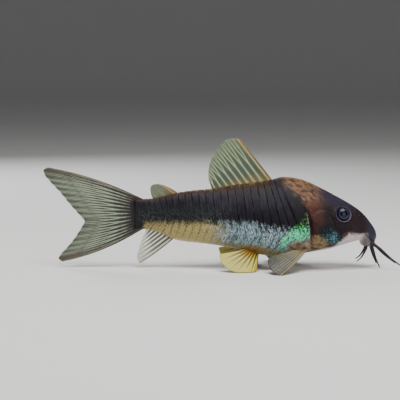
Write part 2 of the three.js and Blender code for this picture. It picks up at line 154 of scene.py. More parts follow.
class Paint(Tree):
    """A material's tree, with the object's own coordinates in millimetres."""

    def __init__(self, name):
        self.material = bpy.data.materials.new(name)
        self.material.use_nodes = True
        super().__init__(self.material.node_tree)
        self.tree.nodes.clear()
        metres = self.node("ShaderNodeTexCoord", output="Object")
        scaling = {0: metres, 1: (1 / MM, 1 / MM, 1 / MM)}
        self.place = self.node("ShaderNodeVectorMath", {"operation": "MULTIPLY"}, scaling)
        split = self.node("ShaderNodeSeparateXYZ", None, {0: self.place}).socket.node
        self.x, self.y, self.z = (Value(self, split.outputs[i]) for i in range(3))

    def vector(self, x, y, z):
        return self.node("ShaderNodeCombineXYZ", None, {0: x, 1: y, 2: z})

    def noise(self, cells, detail=2.0, at=None):
        """Soft noise from 0 to 1, with about that many cells to a millimetre."""
        inputs = {"Vector": at or self.place, "Scale": cells, "Detail": detail}
        return self.node("ShaderNodeTexNoise", None, inputs)

    def attribute(self, name):
        return self.node("ShaderNodeAttribute", {"attribute_name": name}, output="Fac")

    def mix(self, under, over, share):
        """One colour over another. Each is a colour code or a node's colour."""
        under, over = (rgb(colour) if isinstance(colour, str) else colour for colour in (under, over))
        inputs = {0: share, 6: under, 7: over}
        return self.node("ShaderNodeMix", {"data_type": "RGBA"}, inputs, output=2)

    def layers(self, colour, *coats):
        """Coats of colour laid one after another, each with the share in which it shows."""
        for over, share in coats:
            colour = self.mix(colour, over, share)
        return colour

    def bump(self, height, depth):
        inputs = {"Height": height, "Distance": depth * MM, "Strength": 1.0}
        return self.node("ShaderNodeBump", None, inputs)

    def finish(self, colour, **sockets):
        inputs = {"Base Color": colour}
        inputs.update({name.replace("_", " "): value for name, value in sockets.items()})
        shader = self.node("ShaderNodeBsdfPrincipled", None, inputs)
        self.node("ShaderNodeOutputMaterial", None, {"Surface": shader})
        return self.material


def rgb(code):
    """A colour code as linear red, green and blue."""
    parts = [int(code[i:i + 2], 16) / 255 for i in (0, 2, 4)]
    linear = [p / 12.92 if p <= 0.04045 else ((p + 0.055) / 1.055) ** 2.4 for p in parts]
    return (*linear, 1.0)


def mesh_object(name, points, faces):
    """A smooth mesh from points in millimetres."""
    mesh = bpy.data.meshes.new(name)
    mesh.from_pydata((np.asarray(points) * MM).tolist(), [], faces)
    mesh.polygons.foreach_set("use_smooth", [True] * len(mesh.polygons))
    made = bpy.data.objects.new(name, mesh)
    bpy.context.scene.collection.objects.link(made)
    return made


def ring_faces(rings, sides, last_point=True, turned=False):
    """Faces from a first point over rings of points, and on to a last point."""
    faces = []
    end = 1 + (rings - 1) * sides
    for j in range(sides):
        k = (j + 1) % sides
        faces.append((0, 1 + j, 1 + k))
        if last_point:
            faces.append((end + sides, end + k, end + j))
        for a in range(1, end, sides):
            faces.append((a + j, a + sides + j, a + sides + k, a + k))
    return [(face[0], *face[:0:-1]) for face in faces] if turned else faces


backdrop_line = [(r, 0) for r in FLOOR_RINGS]
for a in np.linspace(0, math.pi / 2, COVE_STEPS + 1):
    backdrop_line.append((FLOOR_RADIUS + COVE_RADIUS * math.sin(a), COVE_RADIUS * (1 - math.cos(a))))
backdrop_line.append((FLOOR_RADIUS + COVE_RADIUS, WALL_HEIGHT))
backdrop_turns = [2 * math.pi * j / BACKDROP_SIDES for j in range(BACKDROP_SIDES)]
backdrop_points = [(0, 0, 0)]
backdrop_points += [(r * math.cos(a), r * math.sin(a), h) for r, h in backdrop_line for a in backdrop_turns]
backdrop_faces = ring_faces(len(backdrop_line), BACKDROP_SIDES, last_point=False)
floor = mesh_object("floor", backdrop_points, backdrop_faces)
floor_paint = Paint("floor_paint")
floor_tones = [(grey, grey, grey, 1) for grey in (FLOOR_GREY, FLOOR_GREY * FLOOR_MOTTLE)]
floor_colour = floor_paint.mix(*floor_tones, floor_paint.noise(0.05))
floor.data.materials.append(floor_paint.finish(floor_colour, Roughness=0.85))

for name, light in LIGHTS.items():
    lamp_data = bpy.data.lights.new(name, "AREA")
    lamp_data.size = light["size"]
    lamp_data.energy = light["watts"]
    lamp_data.color = light["colour"]
    lamp = bpy.data.objects.new(name, lamp_data)
    lamp.location = light["place"]
    lamp.rotation_euler = (VIEW_CENTRE - lamp.location).to_track_quat("-Z", "Y").to_euler()
    lamp.visible_camera = False
    bpy.context.scene.collection.objects.link(lamp)

world = bpy.data.worlds.new("studio")
world.use_nodes = True
world.node_tree.nodes["Background"].inputs["Color"].default_value = (WORLD_GREY,) * 3 + (1,)
bpy.context.scene.world = world

# Skin and armour of the head, trunk and tail
# One closed skin without a seam. Bony plates in two rows a side overlap backwards like roof tiles,
# and bone shields the head. It is lofted along the body and its plates are raised by geometry nodes.
STANDARD_LENGTH = 48.5  # snout tip to the base of the tail fin, mm
SNOUT_X = 30.75
PC = STANDARD_LENGTH / 100  # lengths below are percent of the standard length: s from the snout, h up


def profile(*stations):
    """A smooth curve through (s, value) pairs. It runs on the square root of s, which rounds the snout."""
    t = np.sqrt([s for s, _ in stations])
    v = np.array([value for _, value in stations], float)
    slope = np.diff(v) / np.diff(t)
    width = np.diff(t)
    tangent = np.empty_like(v)
    tangent[0], tangent[-1] = slope[0], slope[-1]
    tangent[1:-1] = (slope[:-1] * width[1:] + slope[1:] * width[:-1]) / (width[1:] + width[:-1])

    def at(s):
        x = np.sqrt(np.clip(s, stations[0][0], stations[-1][0]))
        i = np.clip(np.searchsorted(t, x) - 1, 0, len(t) - 2)
        k = (x - t[i]) / width[i]
        rise = k * k * (3 - 2 * k) * (v[i + 1] - v[i])
        bend = k * (1 - k) * width[i] * ((1 - k) * tangent[i] - k * tangent[i + 1])
        return v[i] + rise + bend

    return at


back_line = profile(
    (0, 13.4), (0.4, 15.4), (1.4, 17.3), (2.7, 19.1), (4.7, 21.6), (6.8, 23.6), (9.7, 25.7), (13, 27.7),
    (17, 29.9), (23.3, 33.2), (27.4, 35.2), (31.5, 36.7), (35.7, 37.4), (39.8, 37.3), (43.9, 36.3),
    (52.2, 35.1), (60.4, 33.9), (67.4, 32.7), (76.9, 31.8), (82, 31), (87.2, 29.7), (92.6, 28.6),
    (97, 28.4), (100, 28.2),
)
belly_line = profile(
    (0, 13.4), (0.3, 11.9), (1.1, 10.9), (2.7, 10.8), (4.7, 11.6), (6.8, 11.6), (10.9, 10.6), (15, 9.4),
    (19.2, 8.2), (23.3, 7.4), (27.4, 6.8), (31.5, 6.1), (37.7, 5.3), (43.9, 5.2), (48.9, 5.9), (56.3, 7.6),
    (64.5, 9.2), (72.8, 10.3), (79, 10.9), (82.7, 11.6), (87.2, 13.6), (90.5, 15), (94, 15.8), (100, 16),
)
half_width = profile(
    (0, 0), (0.4, 2.6), (1.4, 4.6), (2.7, 6), (4.7, 7.3), (9.7, 9.2), (14, 10.4), (21, 12), (27.4, 13.2),
    (33, 13.6), (39, 13.3), (48, 11.8), (60, 9.3), (72.8, 6.5), (82.7, 4.5), (93.4, 2.6), (100, 1.7),
)
widest_height = profile(
    (0, 13.4), (2.7, 14.6), (6.8, 16), (15, 17.2), (23, 16.6), (31.5, 15.4), (44, 15.2), (60, 17.4),
    (80, 20.4), (93, 22), (100, 22.2),
)
upper_roundness = profile((0, 2), (6, 2.1), (20, 2.1), (38, 1.75), (60, 1.8), (80, 1.9), (100, 2))
lower_roundness = profile((0, 2), (6, 2.2), (20, 2.5), (40, 2.7), (60, 2.6), (80, 2.2), (100, 2))


def smooth(low, high, value):
    """0 at low and 1 at high, smooth between. low may be the larger one."""
    k = np.clip((value - low) / (high - low), 0, 1)
    return k * k * (3 - 2 * k)


def bell(offset, width):
    """1 where the offset is 0, falling off on either side."""
    return np.exp(-((offset / width) ** 2))


def place(s, h, y=0.0):
    return np.array([SNOUT_X - s * PC, y, h * PC])


def body_point(s, a):
    """The skin at s and angle a round the body: 0 is the right side, 90 degrees the back."""
    up = np.sin(a) >= 0
    power = 2 / np.where(up, upper_roundness(s), lower_roundness(s))
    across = np.sign(np.cos(a)) * np.abs(np.cos(a)) ** power
    rise = np.abs(np.sin(a)) ** power
    middle = widest_height(s)
    reach = np.where(up, back_line(s), belly_line(s)) - middle
    h = middle + reach * rise
    return np.stack([SNOUT_X - s * PC, -across * half_width(s) * PC, h * PC], -1)


PLATES = 23
FIRST_EDGE, LAST_EDGE = 32, 99.2
CROWDING = 1.3  # the first plates' length over the average one
GILL_OPENING = 27.7
PLATE_ROWS = (0.05, 0.17, 0.34, 0.52, 0.7, 0.84, 0.92, 0.96, 1)  # where the mesh has rows along one plate
HEAD_ROWS, SHOULDER_ROWS, AROUND = 130, 12, 264
SNOUT_CROWDING = 1.7  # above 1, so that the rows lie closer at the snout


def plate_edge(i):
    k = i / PLATES
    return FIRST_EDGE + (LAST_EDGE - FIRST_EDGE) * k * (CROWDING - (CROWDING - 1) * k)


def plate_slant(i, a):
    """How far back a plate's rear edge runs at angle a, from its foremost point on the side line."""
    upper = 1.6 + 8.4 * np.exp(-i / 2.2)
    lower = 3.2 + 5.8 * np.exp(-i / 3)
    fade = 1 - smooth(0.82, 1, i / PLATES)
    sine = np.sin(a)
    return fade * np.where(sine > 0, upper * np.abs(sine) ** 1.2, lower * -sine)


def gill_slant(a):
    sine = np.sin(a)
    return np.where(sine > 0, 4.3 * np.abs(sine) ** 1.5, 0.6 * sine)


angles = np.arange(AROUND) / AROUND * 2 * np.pi
rows, plate_places = [], []
for k in np.linspace(0, 1, HEAD_ROWS + 1)[1:] ** SNOUT_CROWDING:
    rows.append(GILL_OPENING * k + smooth(0.35, 1, k) * gill_slant(angles))
    plate_places.append(0)
gill_row = rows[-1]
first_plate = plate_edge(0) + plate_slant(0, angles)
for k in np.linspace(0, 1, SHOULDER_ROWS + 1)[1:]:
    rows.append(gill_row + (first_plate - gill_row) * k)
    plate_places.append(k)
for i in range(1, PLATES + 1):
    before = plate_edge(i - 1) + plate_slant(i - 1, angles)
    after = plate_edge(i) + plate_slant(i, angles)
    for k in PLATE_ROWS:
        rows.append(before + (after - before) * k)
        plate_places.append(i + k)
for s in (99.6, 100):
    rows.append(np.full(AROUND, float(s)))
    plate_places.append(0)

s_grid = np.array(rows)
a_grid = np.broadcast_to(angles, s_grid.shape)
skin = body_point(s_grid, a_grid)


def normals_of(grid):
    along = np.gradient(grid, axis=0)
    around = np.roll(grid, -1, 1) - np.roll(grid, 1, 1)
    cross = np.cross(along, around)
    return cross / np.maximum(np.linalg.norm(cross, axis=-1, keepdims=True), 1e-9)


outward = normals_of(skin)
if (outward * (skin - skin.mean(1, keepdims=True))).sum() < 0:
    outward = -outward

# Lips: the upper one is a fold of the snout, the lower one a pad hung under it, with the mouth between
UPPER_LIP = dict(s=2.9, h=13.2, long=1.5, wide=2.35, deep=0.75)
LOWER_LIP = dict(s=3.7, h=11, long=1.55, wide=2.1, deep=1.1)
MOUTH_CORNER, MOUTH_LEAN = (28.15, 7.3), 0.76
MOUTH_WIDTH, MOUTH_DEPTH = 0.13, 0.17

lip_middle = place(UPPER_LIP["s"], UPPER_LIP["h"])
lip_size = np.array([UPPER_LIP["long"], UPPER_LIP["wide"], UPPER_LIP["deep"]])
in_lip = (skin - lip_middle) / lip_size
lip_reach = np.linalg.norm(in_lip, axis=-1, keepdims=True)
on_lip = lip_middle + in_lip / np.maximum(lip_reach, 0.25) * lip_size
skin = skin + (on_lip - skin) * smooth(0, 0.12, np.clip(1 - lip_reach, 0, 1))

lip_middle = place(LOWER_LIP["s"], LOWER_LIP["h"])
in_lip = (skin - lip_middle)[..., :2] / (LOWER_LIP["long"], LOWER_LIP["wide"])
lip_reach = (in_lip ** 2).sum(-1)
lip_bottom = lip_middle[2] - LOWER_LIP["deep"] * np.sqrt(np.clip(1 - lip_reach, 0, 1))
under_lip = (lip_reach < 1) & (np.sin(a_grid) < 0)
skin[..., 2] = np.where(under_lip, np.minimum(skin[..., 2], lip_bottom), skin[..., 2])
from_mouth = skin[..., 0] - MOUTH_CORNER[0] + (skin[..., 2] - MOUTH_CORNER[1]) * MOUTH_LEAN
beside_mouth = smooth(7.6, 7, skin[..., 2]) * smooth(4.4, 4.9, skin[..., 2]) * smooth(26, 27.4, skin[..., 0])
mouth_line = bell(from_mouth, MOUTH_WIDTH) * beside_mouth
skin = skin - outward * (MOUTH_DEPTH * mouth_line)[..., None]

# Orbits, nostrils, gill covers and gill openings, alike on both sides
EYE = dict(s=14.4, h=23.1, across=1.4, deep=1.0, sunk=0.4, up_tilt=15, fore_tilt=8)
ORBIT_RADIUS, ORBIT_WIDTH, ORBIT_HEIGHT, SOCKET_DEPTH = 1.62, 0.2, 0.16, 1.1
NOSTRILS = ((8.2, 22.6, 0.3), (10.2, 24.3, 0.24))  # s, h and size in mm
NOSTRIL_DEPTH, NOSTRIL_RIM = 0.28, 0.07
FAR_OFF = 9.0


def skin_at(s, h, side):
    """The smooth skin's point at s and height h above its widest line."""
    middle = widest_height(s)
    rise = np.clip((h - middle) / (back_line(s) - middle), 0, 1)
    x, y, z = body_point(s, np.arcsin(rise ** (upper_roundness(s) / 2)))
    return np.array([x, side * abs(y), z])


def eye_axis(side):
    up, fore = math.radians(EYE["up_tilt"]), math.radians(EYE["fore_tilt"])
    axis = np.array([math.sin(fore), side * math.cos(up), math.sin(up)])
    return axis / np.linalg.norm(axis)


lift = np.zeros(s_grid.shape)
eye_reach = np.full(s_grid.shape, FAR_OFF)
from_nostril = np.full(s_grid.shape, FAR_OFF)
for side in (-1, 1):
    on_side = np.sign(skin[..., 1]) == side
    axis = eye_axis(side)
    from_eye = skin - (skin_at(EYE["s"], EYE["h"], side) - axis * EYE["sunk"])
    out = from_eye @ axis
    radius = np.linalg.norm(from_eye - out[..., None] * axis, axis=-1)
    ring = ORBIT_HEIGHT * bell(radius - ORBIT_RADIUS, ORBIT_WIDTH)
    socket = SOCKET_DEPTH * smooth(1.5, 1.28, radius)
    lift += np.where(on_side, ring - socket, 0)
    eye_reach = np.where(on_side, radius, eye_reach)
    for s, h, size in NOSTRILS:
        away = np.linalg.norm(skin - skin_at(s, h, side), axis=-1) / size
        pit = NOSTRIL_DEPTH * np.exp(-(away ** 2) * 1.4)
        rim = NOSTRIL_RIM * bell(away - 1.5, 0.4)
        lift += np.where(on_side, rim - pit, 0)
        from_nostril = np.where(on_side, np.minimum(from_nostril, away), from_nostril)

GILL_COVER = dict(s=22.3, h=17.2, long=4.9, tall=7.6, turn=-14)
COVER_HEIGHT, COVER_GROOVE, COVER_SQUARENESS = 0.1, 0.08, 2.4
OPENING_DEPTH, OPENING_WIDTH = 0.32, 0.42
turn = math.radians(GILL_COVER["turn"])
ds = s_grid - GILL_COVER["s"]
dh = skin[..., 2] / PC - GILL_COVER["h"]
cover_across = (ds * math.cos(turn) + dh * math.sin(turn)) / GILL_COVER["long"]
cover_up = (-ds * math.sin(turn) + dh * math.cos(turn)) / GILL_COVER["tall"]
cover_reach = np.abs(cover_across) ** COVER_SQUARENESS + np.abs(cover_up) ** COVER_SQUARENESS
cover_reach = cover_reach ** (1 / COVER_SQUARENESS)
groove = COVER_GROOVE * bell(cover_reach - 1.06, 0.05)
lift += COVER_HEIGHT * smooth(1.02, 0.9, cover_reach) - groove
opening = bell(s_grid - gill_row, OPENING_WIDTH)
sine_grid = np.sin(a_grid)
lift -= OPENING_DEPTH * opening * smooth(-1, -0.8, sine_grid) * smooth(0.75, 0.3, sine_grid)
skin = skin + outward * lift[..., None]

# Plate heights: most on the flank, less on the back, none on the belly or along the side line
PLATE_HEIGHT, TAIL_PLATE_HEIGHT = 0.2, 0.12
plate_number = np.array(plate_places)[:, None]
plate_size = PLATE_HEIGHT + (TAIL_PLATE_HEIGHT - PLATE_HEIGHT) * plate_number / PLATES
plate_size = plate_size * smooth(-0.95, -0.7, sine_grid) * smooth(0.01, 0.1, np.abs(sine_grid))
plate_size = plate_size * (1 - 0.5 * smooth(0.9, 1, sine_grid)) * (plate_number > 0)
on_plate = plate_number % 1
on_plate = np.where(on_plate == 0, plate_number > 0, on_plate)

points = [place(0, 13.4)] + list(skin.reshape(-1, 3)) + [place(100.1, 22.1)]
skin_base = mesh_object("skin_base", points, ring_faces(len(s_grid), AROUND, turned=True))


def store(made, name, values):
    """A named number on every point of a mesh."""
    made.data.attributes.new(name, "FLOAT", "POINT").data.foreach_set("value", np.asarray(values, np.float32))


def with_ends(grid):
    return np.concatenate([[0], np.asarray(grid, float).reshape(-1), [0]])


store(skin_base, "plate_place", with_ends(np.broadcast_to(on_plate, s_grid.shape)))
store(skin_base, "plate_size", with_ends(plate_size))
store(skin_base, "plate_count", with_ends(np.broadcast_to(plate_number, s_grid.shape)))
store(skin_base, "round", with_ends(sine_grid))
store(skin_base, "behind_gills", with_ends(s_grid - gill_row))
store(skin_base, "from_eye", with_ends(eye_reach))
store(skin_base, "from_nostril", with_ends(from_nostril))
store(skin_base, "mouth_line", with_ends(mouth_line))


def group_with(name, **inputs):
    """A geometry node group with a geometry socket at each end and the named inputs."""
    group = bpy.data.node_groups.new(name, "GeometryNodeTree")
    face = group.interface
    face.new_socket("Geometry", in_out="INPUT", socket_type="NodeSocketGeometry")
    for label, kind in inputs.items():
        face.new_socket(label.replace("_", " "), in_out="INPUT", socket_type=kind)
    face.new_socket("Geometry", in_out="OUTPUT", socket_type="NodeSocketGeometry")
    tree = Tree(group)
    entry = tree.node("NodeGroupInput").socket.node
    return tree, {socket.name: Value(tree, socket) for socket in entry.outputs}


def grow(made, group, name, **values):
    """Runs a geometry node group on an object and returns its result as a plain mesh object."""
    modifier = made.modifiers.new("grow", "NODES")
    modifier.node_group = group
    sockets = {item.name: item.identifier for item in group.interface.items_tree if item.in_out == "INPUT"}
    for label, value in values.items():
        modifier[sockets[label.replace("_", " ")]] = value
    bpy.context.view_layer.update()
    graph = bpy.context.evaluated_depsgraph_get()
    mesh = bpy.data.meshes.new_from_object(made.evaluated_get(graph), depsgraph=graph)
    mesh.name = name
    grown = bpy.data.objects.new(name, mesh)
    bpy.context.scene.collection.objects.link(grown)
    bpy.data.objects.remove(made)
    return grown


def named(tree, name):
    return tree.node("GeometryNodeInputNamedAttribute", {"data_type": "FLOAT"}, {"Name": name})


def end_group(tree, geometry, material):
    """Ends a geometry node group with plain geometry in one material."""
    real = tree.node("GeometryNodeRealizeInstances", None, {"Geometry": geometry})
    dressed = tree.node("GeometryNodeSetMaterial", None, {"Geometry": real, "Material": material})
    tree.node("NodeGroupOutput", None, {"Geometry": dressed})


plates, given = group_with(
    "raise_plates", Plate_height="NodeSocketFloat", Edge_start="NodeSocketFloat",
    Material="NodeSocketMaterial",
)
place_on_plate = named(plates, "plate_place")
rising = (place_on_plate / given["Edge start"]).least(1) ** 0.8
falling = (1 - place_on_plate) / (1 - given["Edge start"])
relief = rising.least(falling.least(1) ** 0.5) * named(plates, "plate_size") * given["Plate height"]
normal = plates.node("GeometryNodeInputNormal")
offset = plates.node("ShaderNodeVectorMath", {"operation": "SCALE"}, {0: normal, "Scale": relief})
raised = plates.node("GeometryNodeSetPosition", None, {"Geometry": given["Geometry"], "Offset": offset})
end_group(plates, raised, given["Material"])

SIGHT_SLOPE = 0.087  # how far a look from 5 degrees above drops on each millimetre

skin_paint = Paint("skin_paint")
coat, layers = skin_paint.mix, skin_paint.layers
x, z = skin_paint.x, skin_paint.z
seen = z - abs(skin_paint.y) * SIGHT_SLOPE  # where a point of the flank shows, as a height at mid-plane
round_body = skin_paint.attribute("round")
behind = skin_paint.attribute("behind_gills")
from_eye = skin_paint.attribute("from_eye")
lane = skin_paint.attribute("plate_count")
edge = skin_paint.attribute("plate_place").step(0.66, 0.93)
on_plates = lane.step(0.2, 1)
side_shift = skin_paint.y * 0.4  # makes the two sides differ
soft = skin_paint.noise(0.9)
wobble = (soft - 0.5) * 1.6
mottle = skin_paint.noise(2.2, 3)
grain = skin_paint.noise(5, 3)
speckle = skin_paint.noise(3.4, 3)
fine_speckle = skin_paint.noise(6.5, 2)


def plate_noise(along, up):
    """Noise in streaks that stand on the plates, with so many cells to a plate and to a millimetre up."""
    return skin_paint.noise(1, 2, skin_paint.vector(lane * along, side_shift, z * up))


streaks = plate_noise(2.7, 0.5)
thin_streaks = plate_noise(8, 1.3)
hairs = plate_noise(15, 2.4)
dots = plate_noise(20, 5)
drift = skin_paint.noise(1, 4, skin_paint.vector(x * 0.8 - z * 0.5, side_shift, x * 1.0 + z * 1.7))

# Purple-black flank, with a painted purple sheen in streaks on the upper plates, painted highlight lines
# along the plates' raised rear edges and grey-green flecks towards the tail
# Painted highlight: pale lines on the raised rear edge of each upper plate
edge_highlights = edge * lane.step(0.6, 4) * thin_streaks.step(0.44, 0.62) * seen.step(9.5, 12.5)
brown_back = round_body.step(0.8, 0.97) * x.step(12, 8)
ridge = round_body.step(0.93, 0.99) * x.step(12, 6)
tail_band = x.step(5, -3) * seen.step(7.6, 9) * seen.step(13.4, 10.6)
flank = layers(
    "030206",
    ("0d0815", soft.step(0.35, 0.65)),
    # Painted sheen: purple-grey streaks on the upper flank's plates
    ("231c2e", streaks.step(0.46, 0.68) * seen.step(9.5, 13) * on_plates * 0.7),
    ("4b4755", edge_highlights * 0.4),
    ("3b2a1c", brown_back * (streaks * 0.9 + 0.1)),
    ("6b5636", ridge * thin_streaks.step(0.48, 0.6) * 0.7),
    ("56625b", tail_band * dots.step(0.5, 0.66) * (0.3 + mottle * 0.6)),
)

# Pale lower flank: mustard behind, silver in front, with a ragged edge
border = 8.9 - x.step(4, 13) * 1.5 + (streaks - 0.5) * 2 + (hairs - 0.5) * 2.4 + (dots - 0.5) * 1.2
border = border - x.step(-15.4, -17.6) * 4.5
below = (seen - border).step(0.8, -0.9)
upper_part = seen.step(5.4, 7.6)
mustard = layers(
    "87784a",
    ("ad9f69", hairs.step(0.3, 0.7)),
    ("c9bd86", dots.step(0.54, 0.7) * upper_part * 0.6),
    ("6b5429", dots.step(0.48, 0.34) * upper_part * 0.6),
    ("1f170d", edge * hairs.step(0.56, 0.44) * upper_part * 0.75),
)
silver = layers(
    "34444f",
    ("6d8a96", thin_streaks.step(0.34, 0.62)),
    ("b7cdce", hairs.step(0.5, 0.66) * (0.3 + streaks * 0.8)),
    # Painted highlight: near-white specks where the silvery streaks catch the light
    ("eaf6f2", dots.step(0.55, 0.68) * (0.25 + streaks * 0.8)),
    ("161d26", hairs.step(0.46, 0.34) * 0.6),
    ("1d2630", thin_streaks.step(0.47, 0.35) * (0.35 + seen.step(5.4, 8) * 0.35)),
    ("232e37", streaks.step(0.5, 0.36) * 0.6),
    ("1b242e", edge * hairs.step(0.62, 0.42) * 0.55),
)
lowest = (seen + wobble * 0.3 + (x - 3).most(0) * 0.15).step(5.6, 4.1)
pale = layers(
    mustard,
    (silver, (x + (streaks - 0.5) * 5 + (hairs - 0.5) * 5).step(-4, 2.5)),
    ("7f7449", lowest * (0.6 + streaks * 0.5)),
)
skin_colour = layers(
    flank,
    (pale, below),
    ("1d1411", (x + (hairs - 0.5) * 3).step(-16.4, -17.6) * 0.7),
)


def patch(cx, cz, rx, rz, turn=0.0, soft_edge=0.45):
    """A soft-edged oval mask on the flank, centred at (cx, cz) in millimetres."""
    c, s = math.cos(math.radians(turn)), math.sin(math.radians(turn))
    along = ((x - cx) * c + (seen - cz) * s) / rx
    up = ((seen - cz) * c - (x - cx) * s) / rz
    reach = along * along + up * up + wobble * 0.25
    return reach.step(1 + soft_edge, 1 - soft_edge)


# Bright green shoulder patch behind the gill opening, dense below and scattered above
patch_floor = (x - 7.7).least(5.75) + (x - 16.3).most(0) * 1.6
patch_side = (x - 11.5) * 1.09 + 5.7 - seen + wobble * 0.7
green = (seen - patch_floor).step(-0.3, 0.2) * patch_side.step(-0.5, 0.6)
green = green * behind.step(0.5, 0.9) * (x + wobble * 0.3).step(11, 11.8)
low = (seen + wobble * 0.6).step(9.2, 6.8)
scattered = (speckle + low * 0.3).step(0.56, 0.64)
bright = (speckle + low * 0.22 - (x - 13) * 0.012).step(0.6, 0.74)
skin_colour = layers(
    skin_colour,
    (coat("060d0a", "15664a", low), green * 0.92),
    ("4f8a33", green * (1 - low) * scattered * 0.8),
    ("58d6a0", green * bright * low.step(0.05, 0.4)),
    # Painted glints: near-white specks on the bright lower part of the green patch
    ("d4f7e4", green * low * fine_speckle.step(0.56, 0.66) * bright * 0.8),
    ("0a2a1e", green * low * fine_speckle.step(0.47, 0.37) * 0.85),
    ("7d5f30", patch(5.8, 3.7, 2.6, 0.9, 0, 0.7) * 0.7),
)

# Bronze nape, and the tan of the breast
nape_line = seen - (16.6 - (x - 12) * 0.5 - (x - 12).most(0) ** 2 * 0.12) + wobble * 0.7 + (drift - 0.5) * 4
nape = nape_line.step(-0.9, 1.8) * x.step(10.2, 12.8) * (x + wobble + (drift - 0.5) * 3).step(20.8, 17.4)
bronze = layers(
    "2a1b15",
    ("62432f", drift.step(0.34, 0.62)),
    ("8d6547", drift.step(0.42, 0.76) * (0.1 + mottle * 0.5)),
    ("9c7a55", round_body.step(0.8, 0.97) * speckle.step(0.38, 0.74) * 0.5),
    ("4a4632", soft.step(0.5, 0.7) * round_body.step(0.5, 0.8) * 0.5),
    ("4f2b1f", (seen - x * 0.2).step(10.6, 9) * 0.55),
)
breast = patch(18.4, 4.8, 2.4, 1.8).most(patch(15.3, 4.2, 2.6, 1.2, -8))
tan = layers(
    "4f3b27",
    ("8a7050", (drift * 0.6 + mottle * 0.4).step(0.4, 0.6)),
    ("83825c", soft.step(0.5, 0.7) * 0.5),
)

# Head: purple-black with a painted grey sheen on top, a red-brown band behind it and teal flecks on the cheek
head = layers(
    "0b070e",
    ("1f1418", (drift * 0.5 + mottle * 0.5).step(0.4, 0.62)),
    ("2a1c1c", (x + wobble).step(23.2, 27) * (0.3 + speckle * 0.5)),
    # Painted sheen: greyer on the top of the head
    ("2f2b3b", round_body.step(0.5, 0.97) * (x + wobble).step(28, 24) * 0.8),
    ("2f2c3b", (x - seen * 0.1).step(26.6, 28.8) * 0.85),
)
band = (x + seen * 0.03 + wobble * 0.3).near(18.6, 1.6) * seen.step(13.6, 11.6) * seen.step(4.6, 6.4)
cheek = patch(20.8, 6.8, 2.4, 1.4, -43, 0.6)
lower_cheek = (x * 0.6 - seen).step(3.6, 7.2)
teal_flecks = (fine_speckle + speckle * 0.3 + lower_cheek * 0.12).step(0.76, 0.9)
gill_rim = behind.near(0.75, 0.3) * seen.step(5.6, 7) * seen.step(11.6, 10.2) * speckle.step(0.4, 0.6)
gill_shade = behind.near(0.2, 0.5) * seen.step(4.5, 6) * seen.step(12, 10.5)
skin_colour = layers(
    skin_colour,
    (head, behind.step(0.7, -0.2)),
    (bronze, nape),
    ("33150f", band * (0.3 + drift * 0.6)),
    (tan, breast * 0.85),
    ("070a12", cheek * 0.85),
    (coat("1a424e", "69a8b0", lower_cheek), cheek * teal_flecks),
    ("86a97c", gill_rim * 0.75),
    ("1a0f10", gill_shade * 0.8),
)

# White chin, pale lips and belly, painted shade in the nostrils and the mouth's crease, a thin pale ring
# round each eye and a painted highlight along the rim of the nape
chin_line = (4 + (x - 21.5) * 0.8).least(6.5 + (x - 21.5) * 0.06)
chin = (seen - chin_line + wobble * 0.25 + (drift - 0.5)).step(0.45, -0.35)
chin = chin * x.step(21, 23.2) * x.step(29.2, 27.6)
under = round_body.step(-0.78, -0.95)
lip_side = (x + (seen - 5) * MOUTH_LEAN).step(30, 29.7) * x.step(27.2, 28.2) * seen.step(7.2, 6.6)
# Painted highlight: a thin pale line along the top of the nape
nape_rim_highlight = round_body.step(0.97, 0.999) * x.step(10, 13) * (x + wobble).step(21, 17)
skin_colour = layers(
    skin_colour,
    ("6e4347", patch(24.7, 6.8, 1.3, 0.5, 20, 0.8) * 0.4),
    (coat("a08d90", "e2d8d8", mottle), chin * 0.92),
    ("b7a88c", under * behind.step(0, 4) * x.step(-13, -7) * 0.8),
    ("d6c8c2", under * behind.step(1, -3) * x.step(28.6, 27.6)),
    (coat("4a4344", "8f8783", mottle), lip_side * 0.95),
    # Painted shade: the mouth's crease darkened along the mouth line
    ("0c080b", skin_paint.attribute("mouth_line") * 0.85),
    # Painted highlight along the nape's rim
    ("857657", nape_rim_highlight * (0.1 + mottle * 0.6)),
    ("85798f", from_eye.near(1.54, 0.12) * (0.15 + seen.step(12, 9.5) * 0.35)),
    # Painted shade: the nostril pits darkened nearly to black
    ("030205", skin_paint.attribute("from_nostril").step(1.1, 0.7) * 0.95),
)

skin_bump = skin_paint.bump(grain * 0.6 + mottle * 0.6 + thin_streaks * on_plates * 0.5, 0.045)
skin_material = skin_paint.finish(
    skin_colour, Roughness=0.42 + grain * 0.18, Normal=skin_bump, Specular_IOR_Level=0.15
)

skin_piece = grow(
    skin_base, plates.tree, "armoured_skin", Plate_height=MM, Edge_start=0.92, Material=skin_material
)
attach(skin_piece, "root")
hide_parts("head", "trunk", "tail", "lower_lip", "gill_cover_right", "gill_cover_left")

# Eyes
# A flattened ball in each orbit, wet and dark, with a black pupil and two thin violet rings round it.
# Each turns a little up and forward, and is held by the rim of its orbit.
EYE_ROWS, EYE_SIDES = 40, 64
PUPIL, INNER_RING, IRIS = 0.62, 0.9, 1.3


def eye_mesh(name, side):
    axis = eye_axis(side)
    ahead = np.cross(np.array([0, 0, 1.0]), axis)
    ahead /= np.linalg.norm(ahead)
    above = np.cross(axis, ahead)
    across, deep = EYE["across"], EYE["deep"]
    centre = skin_at(EYE["s"], EYE["h"], side) - axis * EYE["sunk"]
    points = [centre + axis * deep]
    for i in range(1, EYE_ROWS):
        tilt = math.pi * i / EYE_ROWS
        for j in range(EYE_SIDES):
            turn = 2 * math.pi * j / EYE_SIDES
            flat = ahead * math.cos(turn) + above * math.sin(turn)
            points.append(centre + axis * deep * math.cos(tilt) + flat * across * math.sin(tilt))
    points.append(centre - axis * deep)
    made = mesh_object(name, points, ring_faces(EYE_ROWS - 1, EYE_SIDES))
    away = np.array(points) - centre
    out = away @ axis
    store(made, "from_pupil", np.linalg.norm(away - out[:, None] * axis, axis=1) + 3 * (out < 0))
    return made


